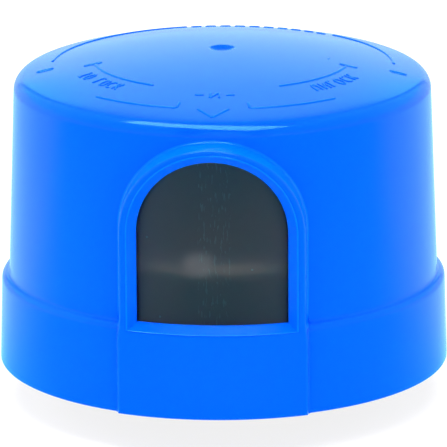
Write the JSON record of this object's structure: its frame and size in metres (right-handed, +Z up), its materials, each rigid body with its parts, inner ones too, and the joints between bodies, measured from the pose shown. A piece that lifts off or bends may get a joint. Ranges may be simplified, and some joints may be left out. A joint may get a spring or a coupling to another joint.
{
  "type": "photocell switch",
  "caption": "Round blue weatherproof photocell switch for an outdoor lamp: domed cover with an arched smoked window and a recessed twist-lock plug base with a gasket.",
  "frame": {"origin": "on the plug axis, in the plane of the gasket's seal face", "axes": "+Z up along the plug axis towards the domed top; the window faces -Y; +X is to the right of the window seen from the front"},
  "size_m": [0.084, 0.0852, 0.0665],
  "materials": {
    "cover_blue": "satin",
    "window_smoke": "gloss",
    "base_black": "satin",
    "gasket_black": "matte",
    "blade_brass": "satin",
    "screw_steel": "satin",
    "board_tan": "satin",
    "sensor_body": "satin",
    "relay_case": "satin",
    "film_case": "satin",
    "can_sleeve": "satin",
    "varistor_coat": "satin",
    "diode_body": "satin",
    "zener_body": "gloss",
    "power_coat": "matte",
    "resistor_coat": "satin",
    "wire_black": "satin",
    "wire_red": "satin",
    "wire_white": "satin"
  },
  "bodies": {
    "root": {"cover": "cover_blue", "window_pane": "window_smoke", "base": "base_black", "gasket": "gasket_black", "line_blade": "blade_brass", "load_blade": "blade_brass", "neutral_blade": "blade_brass", "blade_rivets": "blade_brass", "cover_screws": "screw_steel", "circuit_board": "board_tan", "board_screws": "screw_steel", "light_sensor": "sensor_body", "relay": "relay_case", "film_capacitor": "film_case", "electrolytic_capacitor": "can_sleeve", "varistor": "varistor_coat", "rectifier_diodes": "diode_body", "zener_diode": "zener_body", "power_resistor": "power_coat", "signal_resistors": "resistor_coat", "transistor": "diode_body", "line_wire": "wire_black", "load_wire": "wire_red", "neutral_wire": "wire_white"}
  },
  "joints": []
}
